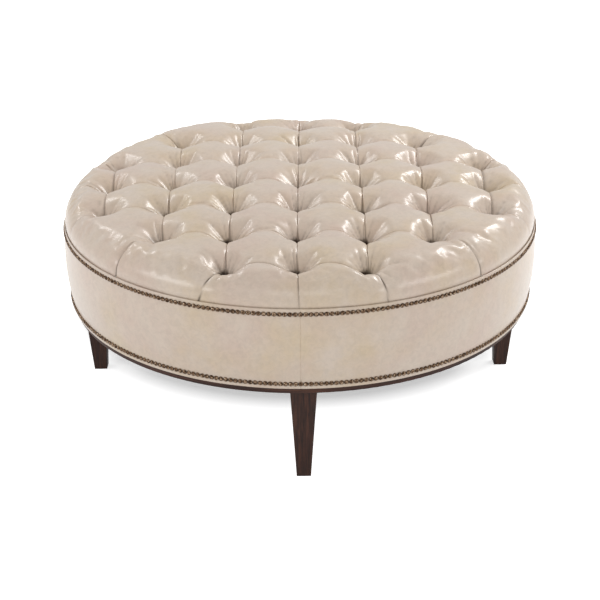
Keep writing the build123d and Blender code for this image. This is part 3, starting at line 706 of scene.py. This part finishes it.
def bandHalf(name, start, node):
    arc = 180
    steps = band["nails"] // 2 * band["stepsPerNail"]
    degreesPerMm = 180 / (math.pi * band["radius"])
    beside = [s * degreesPerMm for s in band["seamLines"]]
    even = [arc * k / steps for k in range(steps + 1)]
    even = [t for t in even if band["seamClear"] < t < arc - band["seamClear"]]
    turns = sorted({0, arc} | set(beside) | {arc - t for t in beside} | set(even))
    profile = bandProfile()
    across = len(profile)
    innerFrom = across - band["bellySteps"]
    points, faces, paintedNailShade = [], [], []
    for turn in turns:
        fromSeam = min(turn, arc - turn) / degreesPerMm
        sink = band["seamDepth"] * max(0, 1 - fromSeam / band["seamRound"]) ** 2
        angle = math.radians(start + turn)
        wave = math.cos(angle * band["nails"])
        for k, (r, z) in enumerate(profile):
            pinch = sum(math.exp(-((z - row) / band["dimpleWide"]) ** 2) for row in band["nailRows"])
            if 0 < k < innerFrom:
                r = r - (sink + band["dimple"] * (1 + wave) / 2 * pinch)
            points.append((r * math.cos(angle) * mm, r * math.sin(angle) * mm, z * mm))
            # painted shade on the leather along each nail row
            close = sum(math.exp(-((z - row) / band["nailShadeWide"]) ** 4) for row in band["nailRows"])
            paintedNailShade.append(band["nailShade"] * close)
    for k in range(len(turns) - 1):
        here, ahead = k * across, (k + 1) * across
        for m in range(across):
            after = (m + 1) % across
            faces.append((here + m, ahead + m, ahead + after, here + after))
    faces.append(tuple(range(across)))
    faces.append(tuple(range((len(turns) - 1) * across, len(turns) * across))[::-1])
    made = meshObject(name, points, faces, leatherFinish)
    made.data.attributes.new("paintedShade", "FLOAT", "POINT").data.foreach_set("value", paintedNailShade)
    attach(made, "root")
    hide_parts(node)


bandHalf("sideBandRight", -90, "side_band_right")
bandHalf("sideBandLeft", 90, "side_band_left")
report("side band is on")


# Nails: domed heads, close set on the band's face, each turned and tilted a hair
nails = {
    "count": band["nails"], "seat": 0.35, "head": 5.0, "dome": 3.3, "back": 0.5, "segments": 12, "rings": 7,
    "tilt": 4.0, "spin": 20, "rim": 0.01,
    "rows": {"upper_nails": (band["radius"], band["nailRows"][1]),
             "lower_nails": (band["footRadius"], band["nailRows"][0])},
}


def nailTree():
    tree = bpy.data.node_groups.new("nailRow", "GeometryNodeTree")
    tree.interface.new_socket("Geometry", in_out="OUTPUT", socket_type="NodeSocketGeometry")
    kinds = {"Count": "Int", "Ring radius": "Float", "Height": "Float", "Head radius": "Float",
             "Dome": "Float", "Back": "Float", "Tilt": "Float", "Seed": "Int"}
    sockets = {}
    for name, kind in kinds.items():
        socket = tree.interface.new_socket(name, in_out="INPUT", socket_type="NodeSocket" + kind)
        sockets[name] = socket.identifier
    inputs = addNode(tree, "NodeGroupInput").outputs
    ring = addNode(tree, "GeometryNodeMeshCircle", {"Vertices": inputs["Count"],
                                                    "Radius": inputs["Ring radius"]})
    lift = addNode(tree, "ShaderNodeCombineXYZ", {"Z": inputs["Height"]})
    raised = addNode(tree, "GeometryNodeTransform", {"Geometry": ring.outputs[0],
                                                     "Translation": lift.outputs[0]})
    # a ball with a tall front and a flat back
    ball = addNode(tree, "GeometryNodeMeshUVSphere", {"Segments": nails["segments"],
                                                      "Rings": nails["rings"], "Radius": 1.0})
    place = addNode(tree, "GeometryNodeInputPosition").outputs[0]
    where = addNode(tree, "ShaderNodeSeparateXYZ", {"Vector": place}).outputs
    above = addNode(tree, "FunctionNodeCompare", {0: where["Z"], 1: nails["rim"]}, data_type="FLOAT",
                    operation="GREATER_THAN")
    tall = addNode(tree, "GeometryNodeSwitch", {"Switch": above.outputs[0], "False": inputs["Back"],
                                                "True": inputs["Dome"]}, input_type="FLOAT")
    sizes = {"X": inputs["Head radius"], "Y": inputs["Head radius"], "Z": tall.outputs[0]}
    shape = addNode(tree, "ShaderNodeCombineXYZ", {
        axis: addNode(tree, "ShaderNodeMath", {0: where[axis], 1: size}, operation="MULTIPLY").outputs[0]
        for axis, size in sizes.items()})
    head = addNode(tree, "GeometryNodeSetPosition", {"Geometry": ball.outputs["Mesh"],
                                                     "Position": shape.outputs[0]})
    # each head faces straight out, then tilts and turns at random
    seat = addNode(tree, "GeometryNodeInputPosition").outputs[0]
    outward = addNode(tree, "ShaderNodeVectorMath", {0: seat, 1: (1, 1, 0)}, operation="MULTIPLY")
    facing = addNode(tree, "FunctionNodeAlignRotationToVector", {"Vector": outward.outputs[0]}, axis="Z")
    least, most = [addNode(tree, "ShaderNodeVectorMath", {0: (sign, sign, sign * nails["spin"]),
                                                          "Scale": inputs["Tilt"]}, operation="SCALE")
                   for sign in (-1, 1)]
    jitter = addNode(tree, "FunctionNodeRandomValue", {"Min": least.outputs[0], "Max": most.outputs[0],
                                                       "Seed": inputs["Seed"]}, data_type="FLOAT_VECTOR")
    turned = addNode(tree, "FunctionNodeRotateRotation", {"Rotation": facing.outputs[0],
                                                          "Rotate By": jitter.outputs["Value"]},
                     rotation_space="LOCAL")
    placed = addNode(tree, "GeometryNodeInstanceOnPoints", {"Points": raised.outputs[0],
                                                            "Instance": head.outputs[0],
                                                            "Rotation": turned.outputs[0]})
    solid = addNode(tree, "GeometryNodeRealizeInstances", {"Geometry": placed.outputs[0]})
    smooth = addNode(tree, "GeometryNodeSetShadeSmooth", {"Geometry": solid.outputs[0]})
    coated = addNode(tree, "GeometryNodeSetMaterial", {"Geometry": smooth.outputs[0],
                                                       "Material": bronzeFinish})
    addNode(tree, "NodeGroupOutput", {"Geometry": coated.outputs[0]})
    return tree, sockets


def nailRow(name, node, face, height, tree, sockets):
    holder = bpy.data.objects.new(name + "Holder", bpy.data.meshes.new(name + "Holder"))
    bpy.context.scene.collection.objects.link(holder)
    modifier = holder.modifiers.new("nails", "NODES")
    modifier.node_group = tree
    values = {"Count": nails["count"], "Ring radius": (face + nails["seat"]) * mm, "Height": height * mm,
              "Head radius": nails["head"] * mm, "Dome": nails["dome"] * mm, "Back": nails["back"] * mm,
              "Tilt": math.radians(nails["tilt"]), "Seed": round(height)}
    for socket, value in values.items():
        modifier[sockets[socket]] = value
    bpy.context.view_layer.update()
    evaluated = holder.evaluated_get(bpy.context.evaluated_depsgraph_get())
    mesh = bpy.data.meshes.new_from_object(evaluated)
    bpy.data.objects.remove(holder)
    made = bpy.data.objects.new(name, mesh)
    bpy.context.scene.collection.objects.link(made)
    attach(made, "root")
    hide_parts(node)
    return made


tree, sockets = nailTree()
nailRows = [nailRow(node.replace("_n", "N"), node, face, height, tree, sockets)
            for node, (face, height) in nails["rows"].items()]
report(f"nail rows have {sum(len(row.data.polygons) for row in nailRows)} faces")


# Black cambric under the drum, stapled tight and sagging a little between its staples
dustCloth = {"radius": 442.2, "top": 228.0, "thickness": 0.8, "sag": 2.5, "pucker": 0.35,
             "puckerShare": 0.06, "staples": 48, "stepsPerStaple": 4, "rings": 14}


def dustCover():
    turns, rings = dustCloth["staples"] * dustCloth["stepsPerStaple"], dustCloth["rings"]
    points, faces = [], []
    for side in (0, 1):
        down = side * dustCloth["thickness"]
        points.append((0, 0, (dustCloth["top"] - dustCloth["sag"] - down) * mm))
        for ring in range(1, rings + 1):
            share = ring / rings
            nearEdge = math.exp(-((1 - share) / dustCloth["puckerShare"]) ** 2)
            r = dustCloth["radius"] * share
            for k in range(turns):
                turn = 2 * math.pi * k / turns
                pucker = dustCloth["pucker"] * (1 - math.cos(turn * dustCloth["staples"])) / 2 * nearEdge
                dip = dustCloth["sag"] * (1 - share ** 2) + pucker
                points.append((r * math.cos(turn) * mm, r * math.sin(turn) * mm,
                               (dustCloth["top"] - dip - down) * mm))
    half = 1 + rings * turns

    def spot(side, ring, k):
        return side * half + (1 + (ring - 1) * turns + k % turns if ring else 0)

    for k in range(turns):
        for side in (0, 1):
            sector = [[spot(side, 0, 0), spot(side, 1, k), spot(side, 1, k + 1)]]
            for ring in range(1, rings):
                sector.append([spot(side, ring, k), spot(side, ring + 1, k), spot(side, ring + 1, k + 1),
                               spot(side, ring, k + 1)])
            faces += [face[::-1] if side else face for face in sector]
        faces.append([spot(0, rings, k), spot(1, rings, k), spot(1, rings, k + 1), spot(0, rings, k + 1)])
    made = meshObject("dustCloth", points, faces, inside["blackCambric"])
    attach(made, "root")
    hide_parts("dust_cover")


dustCover()
report("dust cloth is on")


# Frame pieces keep their modelled shapes
dress(["leg_right", "leg_back", "leg_left", "leg_front"], woodUpright)
dress(["plinth_ring"], woodRing)
dress(["bottom_ring", "deck", "top_hoop", "side_board"], inside["birchPly"])
pineParts = ("rail_post", "deck_post", "deck_rail")
dress([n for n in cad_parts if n.startswith(pineParts)], inside["planedPine"])
dress(["hanger_bolts", "tee_nuts", "plinth_screws", "deck_screws", "hoop_screws"], inside["zincSteel"])
dress(["foam_core"], inside["upholsteryFoam"])
dress(["side_padding"], inside["polyesterBatting"])
dress(["tuft_ties"], inside["tuftingTwine"])
dress(["tie_toggles"], inside["pressedFibre"])
dress(["leg_glides"], inside["darkNylon"])
report("frame pieces are dressed")


# Floor, light and camera, in metres
studio = {
    "floor": "#F6F6F6", "floorReach": 12.0, "floorGlow": 0.385, "ambient": 0.57, "sheenShare": 0.4,
    # the floor glows white to the camera but for a painted shadow, a soft patch under and behind the drum
    # where it glows less
    "shade": {"middle": (0, 0.44, 0), "from": 0.6, "to": 0.68},
    "lights": {
        "keyRight": {"at": (1.9, 1.2, 2.3), "aim": (0, 0, 0.4), "size": (1.5, 0.5), "power": 33},
        "fillLeft": {"at": (-1.9, 1.2, 2.3), "aim": (0, 0, 0.4), "size": (1.5, 0.5), "power": 13},
        "sideLeft": {"at": (-2.4, -1.6, 1.25), "aim": (0, 0, 0.35), "size": (1.6, 0.6), "power": 15},
        "sideRight": {"at": (2.4, -1.6, 1.25), "aim": (0, 0, 0.35), "size": (1.6, 0.6), "power": 11},
        "frontSoft": {"at": (0.1, -3.2, 1.85), "aim": (0, 0, 0.1), "size": (1.8, 1.0), "power": 8},
    },
    # a long lens a little over three metres away, looking down by about 25 degrees
    "camera": {"distance": 3.0947, "elevation": 25.256, "target": 0.1738, "lens": 78.3, "sensor": 36,
               "shift": -0.00057, "roll": -0.355},
}


def makeSight(tree):
    # reflections see a dimmer room than the camera does, so the sides don't melt into the background
    path = addNode(tree, "ShaderNodeLightPath").outputs
    sheen = addNode(tree, "ShaderNodeMath", {0: path["Is Glossy Ray"], 1: studio["sheenShare"]},
                    operation="MULTIPLY")
    seen = addNode(tree, "ShaderNodeMath", {0: path["Is Camera Ray"], 1: sheen.outputs[0]},
                   operation="MAXIMUM")
    return path, seen.outputs[0]


def makeFloor():
    material, tree, shader, place = newMaterial("studioFloor", Roughness=0.9, Specular_IOR_Level=0.0)
    shader.inputs["Base Color"].default_value = toLinear(studio["floor"])
    shade = studio["shade"]
    seen = makeSight(tree)[1]
    # painted shadow: the glow is lower in a soft patch under and behind the drum
    away = addNode(tree, "ShaderNodeVectorMath", {0: place, 1: shade["middle"]}, operation="DISTANCE")
    white = addNode(tree, "ShaderNodeMapRange", {"Value": away.outputs["Value"], "From Min": shade["from"],
                                                 "From Max": shade["to"], "To Min": studio["floorGlow"],
                                                 "To Max": 1.0})
    glow = addNode(tree, "ShaderNodeMath", {0: seen, 1: white.outputs["Result"]}, operation="MULTIPLY")
    shader.inputs["Emission Color"].default_value = (1, 1, 1, 1)
    plug(tree, shader, {"Emission Strength": glow.outputs[0]})
    reach = studio["floorReach"]
    corners = [(-reach, -reach, 0), (reach, -reach, 0), (reach, reach, 0), (-reach, reach, 0)]
    floor = meshObject("floor", corners, [(0, 1, 2, 3)], material)


def makeLights():
    world = bpy.data.worlds.new("studio")
    bpy.context.scene.world = world
    world.use_nodes = True
    tree = world.node_tree
    path, seen = makeSight(tree)
    seen = addNode(tree, "ShaderNodeMath", {0: seen, 1: path["Is Transmission Ray"]}, operation="MAXIMUM")
    strength = addNode(tree, "ShaderNodeMapRange", {"Value": seen.outputs[0], "To Min": studio["ambient"],
                                                    "To Max": 1.0})
    background = tree.nodes["Background"]
    background.inputs["Color"].default_value = (1, 1, 1, 1)
    plug(tree, background, {"Strength": strength.outputs["Result"]})
    for name, settings in studio["lights"].items():
        lamp = bpy.data.lights.new(name, "AREA")
        lamp.shape = "RECTANGLE"
        lamp.size, lamp.size_y = settings["size"]
        lamp.energy = settings["power"]
        holder = bpy.data.objects.new(name, lamp)
        holder.location = settings["at"]
        aim = Vector(settings["aim"]) - holder.location
        holder.rotation_euler = aim.to_track_quat("-Z", "Y").to_euler()
        bpy.context.scene.collection.objects.link(holder)


def makeCamera():
    view = studio["camera"]
    camera = bpy.data.cameras.new("camera")
    camera.lens = view["lens"]
    camera.sensor_width = view["sensor"]
    camera.shift_x = view["shift"]
    holder = bpy.data.objects.new("camera", camera)
    tilt, roll = math.radians(view["elevation"]), math.radians(view["roll"])
    back, up = view["distance"] * math.cos(tilt), view["distance"] * math.sin(tilt)
    holder.location = (0, -back, view["target"] + up)
    facing = Matrix.Rotation(math.radians(90) - tilt, 3, "X") @ Matrix.Rotation(roll, 3, "Z")
    holder.rotation_euler = facing.to_euler()
    bpy.context.scene.collection.objects.link(holder)
    bpy.context.scene.camera = holder


makeFloor()
makeLights()
makeCamera()
bpy.context.scene.view_settings.view_transform = "Standard"
report("studio is set")
